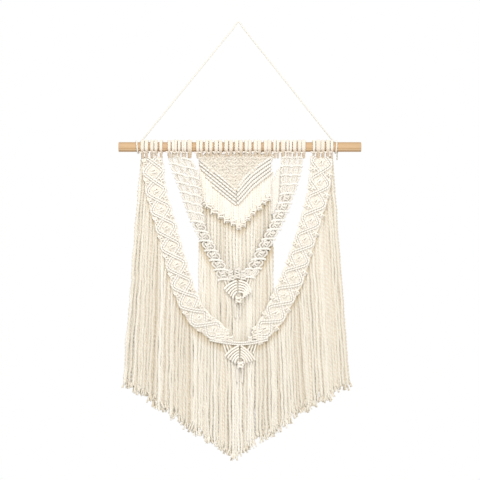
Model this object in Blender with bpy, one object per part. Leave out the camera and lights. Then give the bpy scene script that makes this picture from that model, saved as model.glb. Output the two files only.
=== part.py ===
"""Macrame wall hanging on a wooden dowel, hung by a twisted cord.

Metres. +Z is up and the front faces -Y. The origin is the top of the hanging cord, where it lies on
its nail. Each panel of the macrame is a set of cotton strands, looped over the dowel and fused where
a knot or a bar ties them, and each fringe is a comb of strands rooted in a narrow strip behind the
edge that it hangs from.
"""
import math
import random

import bmesh
import bpy
import numpy as np

random.seed(31)

# ---- driving sizes ----
GAP = 0.0003  # between two pieces that touch

DOWEL_LENGTH = 0.400
DOWEL_RADIUS = 0.008
DOWEL_EASE = 0.0006  # the sanded edge at each sawn end
DOWEL_SIDES = 24
DOWEL_MID_X = 0.0023
DOWEL_Z = -0.2063

CORD_RADIUS = 0.0015
CORD_WRAP_STEPS = 14  # points a turn
CORD_WRAP_RADIUS = (DOWEL_RADIUS + CORD_RADIUS + GAP) / math.cos(math.pi / CORD_WRAP_STEPS)
CORD_WRAP_START = math.radians(45)  # where the cord meets the dowel, up from the middle of its back
# (x where it meets the dowel, travel a turn, turns) of the wrap at each side
CORD_LEFT_WRAP = (-0.1630, -0.0062, 1.1)
CORD_RIGHT_WRAP = (0.1588, 0.0040, 1.15)
# shares of the way from the nail to the dowel, at which the route has a point
CORD_RUN = (0.06, 0.25, 0.50, 0.75, 0.90, 0.97)
CORD_TAIL_DROPS = (0.0060, 0.0110, 0.0200)  # the cut end, down from the right wrap

LOOP_INNER = 0.0090  # the loops over the dowel, at their corners
LOOP_OUTER = 0.0113
LOOP_SEGMENTS = 8
LOOP_WIDTH = 0.0056
LOOP_BAR_Z = -0.2193  # the bar that closes the loops under the dowel

CENTRE_Y = 0.006  # the depth of the centre panel, behind the two garlands
BACKING = 0.0024  # from the middle of a wide bar to its back
VALLEY = 0.35  # the height of the valley between two ridges, as a share of the ridges' own
HITCH_WAIST = 0.78  # the width between two hitches of a bar, as a share of its full width
CROSSING = 0.0006  # how far each of two crossing strands lies from their middle
SET_FORWARD = 0.0020  # a leaf, in front of the band that it hangs from

STRIP_BACK = 0.0021  # from a band's middle to the strip behind it
STRIP_THICK = 0.0024
STRIP_WIDTH = 0.0044
STRIP_INSET = 0.0040  # from the band's edge to the middle of the strip

FRINGE_WIDTH = 0.0048
FRINGE_TIP = 0.7  # the width of a strand's cut end, as a share of its own
FRINGE_REACH = 0.0024  # from the strip's edge out to the strand's first section
FRINGE_DROP = 0.0030
FRINGE_SPAN = 0.080  # the longest straight stretch of a strand
FRINGE_RAGGED = 0.006
FRINGE_SWAY = 0.0005
FRINGE_FALL_BACK = 0.0008

COTTON = (0.86, 0.79, 0.67)
COTTON_DEEP = (0.84, 0.76, 0.63)
WOOD = (0.72, 0.52, 0.31)

# ---- the loops over the dowel ----
# (x of the first leg, step between legs, legs) of each group
OUTER_LEFT_LOOPS = (-0.1578, 0.0074, 5)
INNER_LEFT_LOOPS = (-0.1135, 0.0079, 5)
CENTRE_LOOPS = (-0.0670, 0.0077, 18)
INNER_RIGHT_LOOPS = (0.0730, 0.0085, 5)
OUTER_RIGHT_LOOPS = (0.1240, 0.0076, 4)

# ---- the two garlands, from their left top round the bottom to their right top ----
# (x, z, y of the band's middle, band width)
OUTER_GARLAND = [
    (-0.1427, -0.2215, 0.0000, 0.0380),
    (-0.1361, -0.2772, -0.0040, 0.0370),
    (-0.1196, -0.3366, -0.0095, 0.0370),
    (-0.1023, -0.3993, -0.0100, 0.0370),
    (-0.0825, -0.4587, -0.0100, 0.0385),
    (-0.0660, -0.4868, -0.0100, 0.0370),
    (-0.0445, -0.5082, -0.0100, 0.0270),
    (-0.0200, -0.5185, -0.0100, 0.0200),
    (0.0025, -0.5200, -0.0100, 0.0185),
    (0.0240, -0.5150, -0.0100, 0.0210),
    (0.0421, -0.5020, -0.0100, 0.0290),
    (0.0553, -0.4840, -0.0100, 0.0360),
    (0.0701, -0.4587, -0.0100, 0.0400),
    (0.0858, -0.4274, -0.0100, 0.0400),
    (0.1023, -0.3820, -0.0100, 0.0350),
    (0.1163, -0.3366, -0.0095, 0.0340),
    (0.1353, -0.2772, -0.0040, 0.0390),
    (0.1375, -0.2215, 0.0000, 0.0380),
]
OUTER_LOWEST = 8  # the row of the table that the leaf hangs from
OUTER_REPEATS = 22
OUTER_KNOTS = (0, 1, 2, 3, 4, 5, 6, 7, 12, 13, 14, 15, 16, 17, 18, 19)
# (ridges, half width, height) of a strand of the garland, and (length, share of the band, depth) of a knot
OUTER_STRAND = (2, 0.0050, 0.0024)
OUTER_KNOT = (0.029, 0.18, 0.0044)
INNER_GARLAND = [
    (-0.0975, -0.2215, 0.0000, 0.0380),
    (-0.0957, -0.2442, -0.0010, 0.0315),
    (-0.0883, -0.2706, -0.0025, 0.0320),
    (-0.0759, -0.3020, -0.0035, 0.0297),
    (-0.0685, -0.3300, -0.0035, 0.0280),
    (-0.0503, -0.3680, -0.0035, 0.0272),
    (-0.0289, -0.3944, -0.0035, 0.0262),
    (-0.0025, -0.4109, -0.0035, 0.0200),
    (0.0206, -0.4010, -0.0035, 0.0240),
    (0.0355, -0.3861, -0.0035, 0.0250),
    (0.0512, -0.3597, -0.0035, 0.0248),
    (0.0660, -0.3300, -0.0035, 0.0272),
    (0.0759, -0.3020, -0.0035, 0.0280),
    (0.0850, -0.2755, -0.0025, 0.0300),
    (0.0891, -0.2442, -0.0010, 0.0310),
    (0.0891, -0.2215, 0.0000, 0.0370),
]
INNER_LOWEST = 7
INNER_REPEATS = 14
INNER_BARS = (1, 2, 3, 4, 5, 7, 8, 9, 10, 11)
# (ridges, half width, height) of a strand of the garland and of a bar across it
INNER_STRAND = (2, 0.0042, 0.0024)
INNER_BAR = (1, 0.0036, 0.0042)
INNER_BAR_TRIM = 0.0010  # how far a bar stops inside each edge of the band

# ---- the centre panel ----
# (x, z of the middle, half width) of the chevron of five bars
CHEVRON = [
    (-0.0640, -0.2337, 0.0073),
    (-0.0400, -0.2595, 0.0122),
    (-0.0030, -0.2885, 0.0137),
    (0.0260, -0.2565, 0.0130),
    (0.0545, -0.2352, 0.0131),
]
# (x, z, half width) of the lower row, which the centre's fringe hangs from
LOWER_ROW = [
    (-0.0640, -0.2970, 0.0034),
    (-0.0364, -0.3143, 0.0034),
    (0.0030, -0.3407, 0.0040),
    (0.0338, -0.3061, 0.0034),
    (0.0560, -0.2835, 0.0034),
]
# (table, ridges, height of a ridge, sections between two rows, width between two hitches)
CENTRE_BARS = [
    (CHEVRON, 5, 0.0038, 2, 0.92),
    (LOWER_ROW, 1, 0.0036, 4, 0.80),
]
CENTRE_LAP = 0.0030  # how far a strand reaches into the chevron

# ---- leaf pendants: (x, z of the top, width, height) ----
OUTER_LEAF = (0.0025, -0.5250, 0.0500, 0.0420)
INNER_LEAF = (-0.0010, -0.4170, 0.0400, 0.0430)
# (share of the height, share of the width, swell) down the middle of each half
LEAF_BOW = [
    (0.02, 0.04, 0.40),
    (0.20, 0.20, 0.85),
    (0.46, 0.27, 1.00),
    (0.72, 0.20, 0.85),
    (0.95, 0.03, 0.40),
]
LEAF_BARS = 3
LEAF_BAR_SHARE = 0.2  # half the width of one half's bars, of the leaf's
LEAF_BAR_HEIGHT = 0.0034
# (share of the leaf's height, forward, length, half width, half depth) of the knot at its foot
LEAF_KNOT = (0.96, 0.0010, 0.0110, 0.0045, 0.0046)

# ---- fringes: a row for each turn in the outline of the tips, (x of the root, x of the tip, z) ----
OUTER_FRINGE_STRANDS = 46
OUTER_FRINGE_TIPS = [
    (-0.1565, -0.1920, -0.6060),
    (-0.1440, -0.1600, -0.6140),
    (-0.1180, -0.1230, -0.6420),
    (-0.0780, -0.0800, -0.6750),
    (-0.0400, -0.0400, -0.6950),
    (-0.0080, -0.0070, -0.7200),
    (0.0260, 0.0260, -0.6970),
    (0.0640, 0.0680, -0.6730),
    (0.1010, 0.1120, -0.6390),
    (0.1300, 0.1480, -0.6220),
    (0.1515, 0.1870, -0.6000),
]
INNER_FRINGE_STRANDS = 15
INNER_FRINGE_TIPS = [
    (-0.0650, -0.0660, -0.6200),
    (-0.0020, -0.0020, -0.6600),
    (0.0560, 0.0565, -0.6150),
]
CENTRE_FRINGE_STRANDS = 15
CENTRE_FRINGE_TIPS = [
    (-0.0610, -0.0610, -0.5600),
    (0.0040, 0.0040, -0.6000),
    (0.0530, 0.0540, -0.5500),
]


# ---- curves ----
def read_table(rows, fractions):
    """A table's columns at fractions of its length, on a smooth curve through its rows."""
    rows = np.array(rows, float)
    steps = np.linalg.norm(np.diff(rows[:, :2], axis=0), axis=1)
    along = np.concatenate([[0.0], np.cumsum(steps)])
    slopes = np.gradient(rows, along, axis=0)
    at = np.asarray(fractions, float) * along[-1]
    i = np.clip(np.searchsorted(along, at, side="right") - 1, 0, len(rows) - 2)
    span = (along[i + 1] - along[i])[:, None]
    t = (at - along[i])[:, None] / span
    ends = rows[i] * (2 * t**3 - 3 * t**2 + 1) + rows[i + 1] * (3 * t**2 - 2 * t**3)
    bend = slopes[i] * (t**3 - 2 * t**2 + t) + slopes[i + 1] * (t**3 - t**2)
    return ends + bend * span


def table_length(rows):
    rows = read_table(rows, np.linspace(0, 1, 200))
    return float(np.linalg.norm(np.diff(rows[:, :2], axis=0), axis=1).sum())


def band_points(rows, fractions, across):
    """Points at a distance across a band from its middle, and its width there. Outwards is positive."""
    nearby = 0.002
    fractions = np.asarray(fractions, float)
    here = read_table(rows, fractions)
    ahead = read_table(rows, np.clip(fractions + nearby, 0, 1))
    behind = read_table(rows, np.clip(fractions - nearby, 0, 1))
    way = ahead[:, :2] - behind[:, :2]
    way /= np.linalg.norm(way, axis=1)[:, None]
    outwards = np.stack([way[:, 1], -way[:, 0]], axis=1)
    flat = here[:, :2] + outwards * np.asarray(across, float)[:, None]
    points = np.stack([flat[:, 0], here[:, 2], flat[:, 1]], axis=1)
    return points, here[:, 3]


def stations(route, count):
    """Evenly numbered points on a straight-sided route."""
    route = np.array(route, float)
    spots, along = np.linspace(0, 1, count), np.linspace(0, 1, len(route))
    return np.stack([np.interp(spots, along, route[:, k]) for k in range(3)], axis=1)


def lane(rows, repeats, first, wave, inset, depth):
    """The route of a strand that swings from one edge of a band to the other, once a repeat."""
    turns = (0.36, 0.64)  # where in a repeat the strand reaches the edge and leaves it
    fractions, swings = [0.0], [-wave * 0.5]
    for k in range(-1, math.ceil(repeats)):
        for turn in turns:
            spot = (k + first + turn) / repeats
            if 0.01 < spot < 0.99:
                fractions.append(spot)
                swings.append(wave * (-1) ** k)
    fractions.append(1.0)
    swings.append(-wave * 0.5 * (-1) ** math.ceil(repeats))
    _, width = band_points(rows, fractions, np.zeros(len(fractions)))
    line, _ = band_points(rows, fractions, np.array(swings) * np.maximum(width / 2 - inset, 0.0))
    return line + (0.0, depth, 0.0)


# ---- bodies: each is (points, faces) ----
def ridges(count, half_width, height):
    """A section with ridges towards the front, as (across, back) points round its outline."""
    outline = [(half_width, BACKING / 3)]
    for k in range(count):
        crest = half_width * (1 - (2 * k + 1) / count)
        outline.append((crest, -height))
        if k < count - 1:
            outline.append((crest - half_width / count, -height * VALLEY))
    outline.append((-half_width, BACKING / 3))
    if count > 2:
        outline.append((0.0, BACKING))
    return outline


def tube_faces(rings, sides):
    faces = []
    for k in range(rings - 1):
        for j in range(sides):
            a, b = k * sides + j, k * sides + (j + 1) % sides
            faces.append((a, b, b + sides, a + sides))
    last = (rings - 1) * sides
    faces.append(tuple(range(sides))[::-1])
    faces.append(tuple(range(last, last + sides)))
    return faces


def prism(route, section, wide=1.0, deep=1.0):
    """A closed bar along a route, with its section kept facing the front and scaled at each point."""
    route = np.array(route, float)
    wide = np.broadcast_to(wide, len(route))
    deep = np.broadcast_to(deep, len(route))
    way = np.gradient(route, axis=0)
    way /= np.linalg.norm(way, axis=1)[:, None]
    side = np.cross(way, (0.0, 1.0, 0.0))
    side /= np.linalg.norm(side, axis=1)[:, None]
    back = np.cross(side, way)
    points = []
    for k in range(len(route)):
        for across, behind in section:
            points.append(route[k] + side[k] * (across * wide[k]) + back[k] * (behind * deep[k]))
    return points, tube_faces(len(route), len(section))


def hitched_bar(route, section, hitches):
    """A bar of half hitches: it swells at each hitch and narrows between two."""
    swell = np.where(np.arange(2 * hitches + 1) % 2 == 1, 1.0, HITCH_WAIST)
    return prism(stations(route, 2 * hitches + 1), section, swell, swell)


def square_knot(middle, way, length, half_width, half_depth):
    """A plump knot with two ridges, lying along its strands."""
    spots = np.array([-0.5, -0.22, 0.0, 0.22, 0.5])
    swell = np.array([0.35, 1.0, 0.84, 1.0, 0.35])
    route = np.array(middle) + np.outer(spots * length, way)
    sides, tilt = 6, 0.2
    angles = [2 * math.pi * j / sides + tilt for j in range(sides)]
    section = [(half_width * math.cos(angle), half_depth * math.sin(angle)) for angle in angles]
    return prism(route, section, swell, swell)


STRAND = ridges(1, 0.0024, 0.0024)
LOOP_BAR = [(0.0034, 0.0), (0.0, -0.0042), (-0.0034, 0.0), (0.0, 0.0020)]


def dowel_loop(x):
    """One leg of a lark's head, right round the dowel."""
    section = ((-LOOP_WIDTH / 2, LOOP_INNER), (LOOP_WIDTH / 2, LOOP_INNER), (0.0, LOOP_OUTER))
    points = []
    for k in range(LOOP_SEGMENTS):
        angle = 2 * math.pi * (k + 0.5) / LOOP_SEGMENTS
        for shift, radius in section:
            points.append((x + shift, radius * math.cos(angle), DOWEL_Z + radius * math.sin(angle)))
    faces = []
    sides = len(section)
    for k in range(LOOP_SEGMENTS):
        following = (k + 1) % LOOP_SEGMENTS
        for j in range(sides):
            beside = (j + 1) % sides
            a, b = k * sides + j, k * sides + beside
            c, d = following * sides + beside, following * sides + j
            faces.append((a, b, c, d))
    return points, faces


def loop_group(group):
    """The loops of one group and the bar that closes them below the dowel."""
    first, step, legs = group
    bodies = [dowel_loop(first + step * k) for k in range(legs)]
    ends = (first - LOOP_WIDTH / 2, first + step * (legs - 1) + LOOP_WIDTH / 2)
    route = [(x, 0.0, LOOP_BAR_Z) for x in ends]
    bodies.append(hitched_bar(route, LOOP_BAR, math.ceil(legs / 2)))
    return bodies


def garland(rows, repeats, first, section, inset):
    """Two strands that cross at each repeat of a band."""
    return [
        prism(lane(rows, repeats, first, wave, inset, -wave * CROSSING), section)
        for wave in (1, -1)
    ]


def leaf(pendant, depth_y):
    """A leaf of curved bars either side of a slit, drawn together in a round knot at its foot."""
    x, top, width, height = pendant
    swell = [row[2] for row in LEAF_BOW]
    bodies = []
    for side in (-1, 1):
        route = [
            (x + side * width * out, depth_y - side * CROSSING, top - height * drop)
            for drop, out, _ in LEAF_BOW
        ]
        bodies.append(prism(route, ridges(LEAF_BARS, width * LEAF_BAR_SHARE, LEAF_BAR_HEIGHT), swell))
    low, forward, length, half_width, half_depth = LEAF_KNOT
    foot = (x, depth_y - forward, top - height * low)
    bodies.append(square_knot(foot, np.array((1.0, 0.0, 0.0)), length, half_width, half_depth))
    return bodies


# ---- objects ----
def material(name, colour, roughness):
    made = bpy.data.materials.new(name)
    made.use_nodes = True
    shader = made.node_tree.nodes["Principled BSDF"]
    shader.inputs["Base Color"].default_value = (*colour, 1.0)
    shader.inputs["Roughness"].default_value = roughness
    return made


def mesh_object(name, body, made):
    points, faces = body
    mesh = bpy.data.meshes.new(name)
    mesh.from_pydata([tuple(map(float, p)) for p in points], [], faces)
    work = bmesh.new()
    work.from_mesh(mesh)
    bmesh.ops.recalc_face_normals(work, faces=work.faces)
    work.to_mesh(mesh)
    work.free()
    mesh.materials.append(made)
    return bpy.data.objects.new(name, mesh)


def fused(name, bodies, made):
    """One object: the first body with all of the others joined to it where they cross."""
    base = mesh_object(name, bodies[0], made)
    bpy.context.scene.collection.objects.link(base)
    group = bpy.data.collections.new(name + "_strands")
    bpy.context.scene.collection.children.link(group)
    for k, body in enumerate(bodies[1:]):
        part = mesh_object(f"{name}_strand_{k:03d}", body, made)
        part.hide_render = True
        part.display_type = "WIRE"
        group.objects.link(part)
    join = base.modifiers.new("Fused", "BOOLEAN")
    join.operation = "UNION"
    join.operand_type = "COLLECTION"
    join.collection = group
    join.solver = "EXACT"
    return base


def fringe_strand(points, faces, ring, root, tip):
    """Adds one strand of four sides to a comb's points and faces. ring is the opening that it grows
    from, and tip is (x, z)."""
    steps = max(2, round((root[2] - tip[1]) / FRINGE_SPAN))
    for j in range(steps + 1):
        part, hangs = j / steps, min(1, j)
        x = root[0] + (tip[0] - root[0]) * part + random.uniform(-FRINGE_SWAY, FRINGE_SWAY)
        y = root[1] + hangs * (FRINGE_FALL_BACK + random.uniform(0.0, FRINGE_FALL_BACK))
        z = root[2] + (tip[1] - root[2]) * part - (1 - hangs) * FRINGE_DROP
        wide = FRINGE_WIDTH / 2 * (1.0 if j < steps else FRINGE_TIP)
        fresh = list(range(len(points), len(points) + 4))
        for dx, dy in ((-wide, -1), (wide, -1), (wide, 1), (-wide, 1)):
            points.append(np.array((x + dx, y + dy * STRIP_THICK / 2, z)))
        faces += [(ring[i], ring[(i + 1) % 4], fresh[(i + 1) % 4], fresh[i]) for i in range(4)]
        ring = fresh
    faces.append(tuple(ring))


def fringe(name, rows, inset, tips, strands, made):
    """A strip along a band's outer edge with strands that hang from it, in one closed mesh."""
    fine = np.linspace(0.001, 0.999, 1500)
    _, width = band_points(rows, fine, np.zeros(len(fine)))
    across = width / 2 - inset
    line, _ = band_points(rows, fine, across)
    tips = np.array(tips)
    roots_x = np.linspace(tips[0, 0], tips[-1, 0], strands)
    at = np.interp(roots_x, line[:, 0], fine)
    half = FRINGE_WIDTH / 2 / table_length(rows)
    cuts = np.stack([at - half, at + half], axis=1).ravel()
    edges = [
        band_points(rows, cuts, np.interp(cuts, fine, across) + shift)[0] + (0.0, STRIP_BACK, 0.0)
        for shift in (STRIP_WIDTH / 2, -STRIP_WIDTH / 2)
    ]
    thick = np.array((0.0, STRIP_THICK, 0.0))
    points, faces = [], []
    for outer, inner in zip(*edges):
        points += [outer, outer + thick, inner, inner + thick]
    for k in range(len(cuts) - 1):
        a, b = 4 * k, 4 * k + 4
        faces += [(a, b, b + 2, a + 2), (a + 1, a + 3, b + 3, b + 1), (a + 2, b + 2, b + 3, a + 3)]
        if k % 2 == 1:
            faces.append((a, a + 1, b + 1, b))
    end = 4 * (len(cuts) - 1)
    faces += [(0, 2, 3, 1), (end, end + 1, end + 3, end + 2)]
    for k in range(strands):
        outer, inner = edges[0][2 * k:2 * k + 2], edges[1][2 * k:2 * k + 2]
        away = (outer - inner).mean(axis=0)
        root = outer.mean(axis=0) + thick / 2 + away / np.linalg.norm(away) * FRINGE_REACH
        tip = [np.interp(roots_x[k], tips[:, 0], tips[:, j]) for j in (1, 2)]
        tip[1] += random.uniform(-FRINGE_RAGGED, FRINGE_RAGGED)
        fringe_strand(points, faces, [8 * k, 8 * k + 4, 8 * k + 5, 8 * k + 1], root, tip)
    comb = mesh_object(name, (points, faces), made)
    bpy.context.scene.collection.objects.link(comb)
    return comb


# ---- the build ----
for old in list(bpy.data.objects):
    bpy.data.objects.remove(old)

# The dowel: a turned wooden rod with both ends sawn square and sanded.
wood = material("wood", WOOD, 0.6)
half_length = DOWEL_LENGTH / 2
stops = (
    (-half_length, DOWEL_RADIUS - DOWEL_EASE),
    (-half_length + DOWEL_EASE, DOWEL_RADIUS),
    (half_length - DOWEL_EASE, DOWEL_RADIUS),
    (half_length, DOWEL_RADIUS - DOWEL_EASE),
)
dowel_points = []
for stop, radius in stops:
    for j in range(DOWEL_SIDES):
        angle = 2 * math.pi * j / DOWEL_SIDES
        dowel_points.append(
            (DOWEL_MID_X + stop, radius * math.cos(angle), DOWEL_Z + radius * math.sin(angle))
        )
dowel = mesh_object("dowel", (dowel_points, tube_faces(len(stops), DOWEL_SIDES)), wood)
bpy.context.scene.collection.objects.link(dowel)


# The hanging cord: taut from each side of the dowel to the nail, wrapped round the dowel and cut short.
def cord_wrap(x, pitch, turns):
    """Turns that meet the dowel behind its top and go down its back, under it and up its front."""
    points = []
    for k in range(int(turns * CORD_WRAP_STEPS) + 1):
        angle = CORD_WRAP_START - 2 * math.pi * k / CORD_WRAP_STEPS
        y = CORD_WRAP_RADIUS * math.cos(angle)
        z = CORD_WRAP_RADIUS * math.sin(angle)
        points.append((x + pitch * k / CORD_WRAP_STEPS, y, DOWEL_Z + z))
    return points


left_wrap = cord_wrap(*CORD_LEFT_WRAP)
right_wrap = cord_wrap(*CORD_RIGHT_WRAP)
left_run = [tuple(c * share for c in left_wrap[0]) for share in CORD_RUN[::-1]]
right_run = [tuple(c * share for c in right_wrap[0]) for share in CORD_RUN]
tail_x, tail_y, tail_z = right_wrap[-1]
right_tail = [(tail_x, tail_y, tail_z - drop) for drop in CORD_TAIL_DROPS]
cord_route = left_wrap[::-1] + left_run + [(0.0, 0.0, 0.0)] + right_run + right_wrap + right_tail
cord_cotton = material("cord_cotton", COTTON, 0.9)
cord_curve = bpy.data.curves.new("hanging_cord", "CURVE")
cord_curve.dimensions = "3D"
cord_curve.bevel_depth = CORD_RADIUS
cord_curve.bevel_resolution = 2
cord_curve.use_fill_caps = True
spline = cord_curve.splines.new("POLY")
spline.points.add(len(cord_route) - 1)
for point, place in zip(spline.points, cord_route):
    point.co = (*place, 1.0)
cord_curve.materials.append(cord_cotton)
hanging_cord = bpy.data.objects.new("hanging_cord", cord_curve)
bpy.context.scene.collection.objects.link(hanging_cord)

# The centre panel: strands from the loops, a chevron of parallel bars, then a single lower row.
centre_cotton = material("centre_cotton", COTTON_DEEP, 0.95)
bodies = loop_group(CENTRE_LOOPS)
chevron, lower = np.array(CHEVRON), np.array(LOWER_ROW)
first, step, legs = CENTRE_LOOPS
for k in range(legs):
    x = first + step * k
    if chevron[0, 0] < x < chevron[-1, 0]:
        knee = float(np.interp(x, chevron[:, 0], chevron[:, 1]))
        foot = float(np.interp(x, lower[:, 0], lower[:, 1]))
        bodies.append(prism([(x, 0.0, LOOP_BAR_Z), (x, CENTRE_Y, knee + CENTRE_LAP)], STRAND))
        bodies.append(prism([(x, CENTRE_Y, knee - CENTRE_LAP), (x, CENTRE_Y + GAP, foot)], STRAND))
for rows, crests, height, between, waist in CENTRE_BARS:
    count = between * (len(rows) - 1) + 1
    route = stations([(x, CENTRE_Y + CROSSING, z) for x, z, _ in rows], count)
    wide = np.interp(route[:, 0], *np.array(rows)[:, [0, 2]].T)
    swell = np.where(np.arange(count) % 2 == 1, 1.0, waist)
    bodies.append(prism(route, ridges(crests, 1.0, height), wide * swell, swell))
fused("centre_panel", bodies, centre_cotton)

# The inner garland: a narrow net of strands and knotted bars, with a leaf hung at its lowest point.
inner_cotton = material("inner_cotton", COTTON, 0.95)
bodies = loop_group(INNER_LEFT_LOOPS) + loop_group(INNER_RIGHT_LOOPS)
bodies += garland(INNER_GARLAND, INNER_REPEATS, 0.30, ridges(*INNER_STRAND), INNER_STRAND[1])
for k in INNER_BARS:
    spot = (k + 0.8) / INNER_REPEATS
    _, width = band_points(INNER_GARLAND, [spot], [0.0])
    reach = np.array([-1.0, 1.0]) * (width[0] / 2 - INNER_BAR_TRIM)
    ends, _ = band_points(INNER_GARLAND, [spot, spot], reach)
    bodies.append(hitched_bar(ends, ridges(*INNER_BAR), 3))
bodies += leaf(INNER_LEAF, INNER_GARLAND[INNER_LOWEST][2] - SET_FORWARD)
fused("inner_garland", bodies, inner_cotton)

# The outer garland: paired strands that cross in a chain of diamonds, each about a square knot.
outer_cotton = material("outer_cotton", COTTON, 0.95)
bodies = loop_group(OUTER_LEFT_LOOPS) + loop_group(OUTER_RIGHT_LOOPS)
bodies += garland(OUTER_GARLAND, OUTER_REPEATS, 0.35, ridges(*OUTER_STRAND), OUTER_STRAND[1])
knot_length, knot_share, knot_depth = OUTER_KNOT
for k in OUTER_KNOTS:
    spot = (k + 0.85) / OUTER_REPEATS
    pair, width = band_points(OUTER_GARLAND, [spot - 0.004, spot + 0.004], [0.0, 0.0])
    way = (pair[1] - pair[0]) / np.linalg.norm(pair[1] - pair[0])
    middle = (pair[0] + pair[1]) / 2 - (0.0, CROSSING, 0.0)
    bodies.append(square_knot(middle, way, knot_length, width[0] * knot_share, knot_depth))
bodies += leaf(OUTER_LEAF, OUTER_GARLAND[OUTER_LOWEST][2] - SET_FORWARD)
fused("outer_garland", bodies, outer_cotton)

# The fringes: one comb of strands behind each garland and one behind the lower row of the centre.
outer_fringe_cotton = material("outer_fringe_cotton", COTTON, 0.98)
fringe(
    "outer_fringe", OUTER_GARLAND, STRIP_INSET,
    OUTER_FRINGE_TIPS, OUTER_FRINGE_STRANDS, outer_fringe_cotton,
)
inner_fringe_cotton = material("inner_fringe_cotton", COTTON_DEEP, 0.98)
fringe(
    "inner_fringe", INNER_GARLAND, STRIP_INSET,
    INNER_FRINGE_TIPS, INNER_FRINGE_STRANDS, inner_fringe_cotton,
)
centre_fringe_cotton = material("centre_fringe_cotton", COTTON_DEEP, 0.98)
lower_band = [(x, z, CENTRE_Y - GAP, 2 * half_width) for x, z, half_width in LOWER_ROW]
fringe(
    "centre_fringe", lower_band, LOWER_ROW[0][2],
    CENTRE_FRINGE_TIPS, CENTRE_FRINGE_STRANDS, centre_fringe_cotton,
)
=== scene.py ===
"""A macrame wall hanging: natural cotton rope knotted on a wooden dowel, hung by a twisted cord.

Metres, in the frame of the CAD model: +Z is up, the front faces -Y, and the origin is the top of
the hanging cord. The sections follow the hanging as it is put together.
"""

import math

import bpy
import numpy as np
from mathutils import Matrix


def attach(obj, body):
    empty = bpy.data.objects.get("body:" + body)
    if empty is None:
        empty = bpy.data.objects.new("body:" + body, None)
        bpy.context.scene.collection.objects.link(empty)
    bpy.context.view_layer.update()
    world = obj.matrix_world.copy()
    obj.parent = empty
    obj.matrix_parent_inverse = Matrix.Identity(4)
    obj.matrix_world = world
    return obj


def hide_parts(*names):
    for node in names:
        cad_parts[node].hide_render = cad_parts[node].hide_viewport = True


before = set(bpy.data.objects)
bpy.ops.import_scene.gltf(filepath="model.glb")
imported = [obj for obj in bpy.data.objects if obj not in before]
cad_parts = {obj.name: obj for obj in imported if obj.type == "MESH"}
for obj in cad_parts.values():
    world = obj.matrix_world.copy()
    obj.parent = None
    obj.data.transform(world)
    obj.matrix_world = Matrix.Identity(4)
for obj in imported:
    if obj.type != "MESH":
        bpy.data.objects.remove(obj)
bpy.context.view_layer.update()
scene = bpy.context.scene
chance = np.random.default_rng(47)

# ---- The camera, the lights and the floor ----
# The camera looks straight at the middle of the hanging from well back, as for a catalogue.
# Soft light comes from a white room, a wide lamp high on the left and a stronger one in front.
HANGING_MIDDLE = np.array((0.0, 0.0, -0.36))
camera_data = bpy.data.cameras.new("camera")
camera_data.sensor_width = 36.0
camera_data.lens = 159.1
camera = bpy.data.objects.new("camera", camera_data)
camera.location = (0.0025, -3.5, -0.3597)
camera.rotation_euler = (math.radians(90), 0.0, 0.0)
scene.collection.objects.link(camera)
scene.camera = camera
scene.view_settings.view_transform = "Standard"

ROOM_LIGHT = (0.5, 0.4875, 0.4625, 1.0)  # a little warm, from the walls
WHITE = (1.0, 1.0, 1.0, 1.0)
MIX_SHARE, MIX_A, MIX_B, MIX_RESULT = 0, 6, 7, 2  # the sockets of a node that mixes two colours


def set_inputs(node, values):
    """A node, once the values of some of its inputs have been set by name or by number."""
    for socket, value in values.items():
        node.inputs[socket].default_value = value
    return node


def add_node(tree, kind, **values):
    """A new node in a tree, with the values of some of its inputs, by name."""
    return set_inputs(tree.nodes.new(kind), values)


def join(tree, *pairs):
    """Links in a tree, each from an output to an input."""
    for source, target in pairs:
        tree.links.new(source, target)


room = bpy.data.worlds.new("white_room")
room.use_nodes = True
sky = room.node_tree
seen_directly = add_node(sky, "ShaderNodeLightPath").outputs["Is Camera Ray"]
sky_colour = set_inputs(add_node(sky, "ShaderNodeMix"), {MIX_A: ROOM_LIGHT, MIX_B: WHITE})
sky_colour.data_type = "RGBA"
join(
    sky, (seen_directly, sky_colour.inputs[MIX_SHARE]),
    (sky_colour.outputs[MIX_RESULT], sky.nodes["Background"].inputs["Color"]),
)
scene.world = room

LAMP_TINT = (0.98, 0.99, 1.0)
# (name, place, width, watts)
LAMPS = [
    ("lamp_high_left", (-0.8, -2.0, 1.7), 1.4, 40.0),
    ("lamp_front", (0.7, -3.2, 0.3), 2.0, 58.0),
]
for name, place, width, watts in LAMPS:
    lamp_data = bpy.data.lights.new(name, "AREA")
    lamp_data.size = width
    lamp_data.energy = watts
    lamp_data.color = LAMP_TINT
    lamp = bpy.data.objects.new(name, lamp_data)
    lamp.location = place
    aim = HANGING_MIDDLE - place
    lamp.rotation_euler = (
        math.acos(-aim[2] / np.linalg.norm(aim)), 0.0, math.atan2(aim[1], aim[0]) - math.pi / 2,
    )
    scene.collection.objects.link(lamp)


def new_material(name, values):
    """A material and its shader, with the values of some of the shader's inputs."""
    made = bpy.data.materials.new(name)
    made.use_nodes = True
    return made, set_inputs(made.node_tree.nodes["Principled BSDF"], values)


def add_mesh(name, points, faces, material):
    """A smooth object of points and faces."""
    mesh = bpy.data.meshes.new(name)
    mesh.from_pydata(points, [], faces, shade_flat=False)
    mesh.materials.append(material)
    made = bpy.data.objects.new(name, mesh)
    scene.collection.objects.link(made)
    return made


FLOOR_Z = -1.6
FLOOR_HALF = 2.5
floor_corners = [
    (x * FLOOR_HALF, y * FLOOR_HALF, FLOOR_Z) for x, y in ((-1, -1), (1, -1), (1, 1), (-1, 1))
]
pale_floor, _ = new_material("pale_floor", {
    "Base Color": (0.84, 0.83, 0.81, 1.0), "Roughness": 0.85,
})
floor = add_mesh("floor", floor_corners, [(0, 1, 2, 3)], pale_floor)

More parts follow.
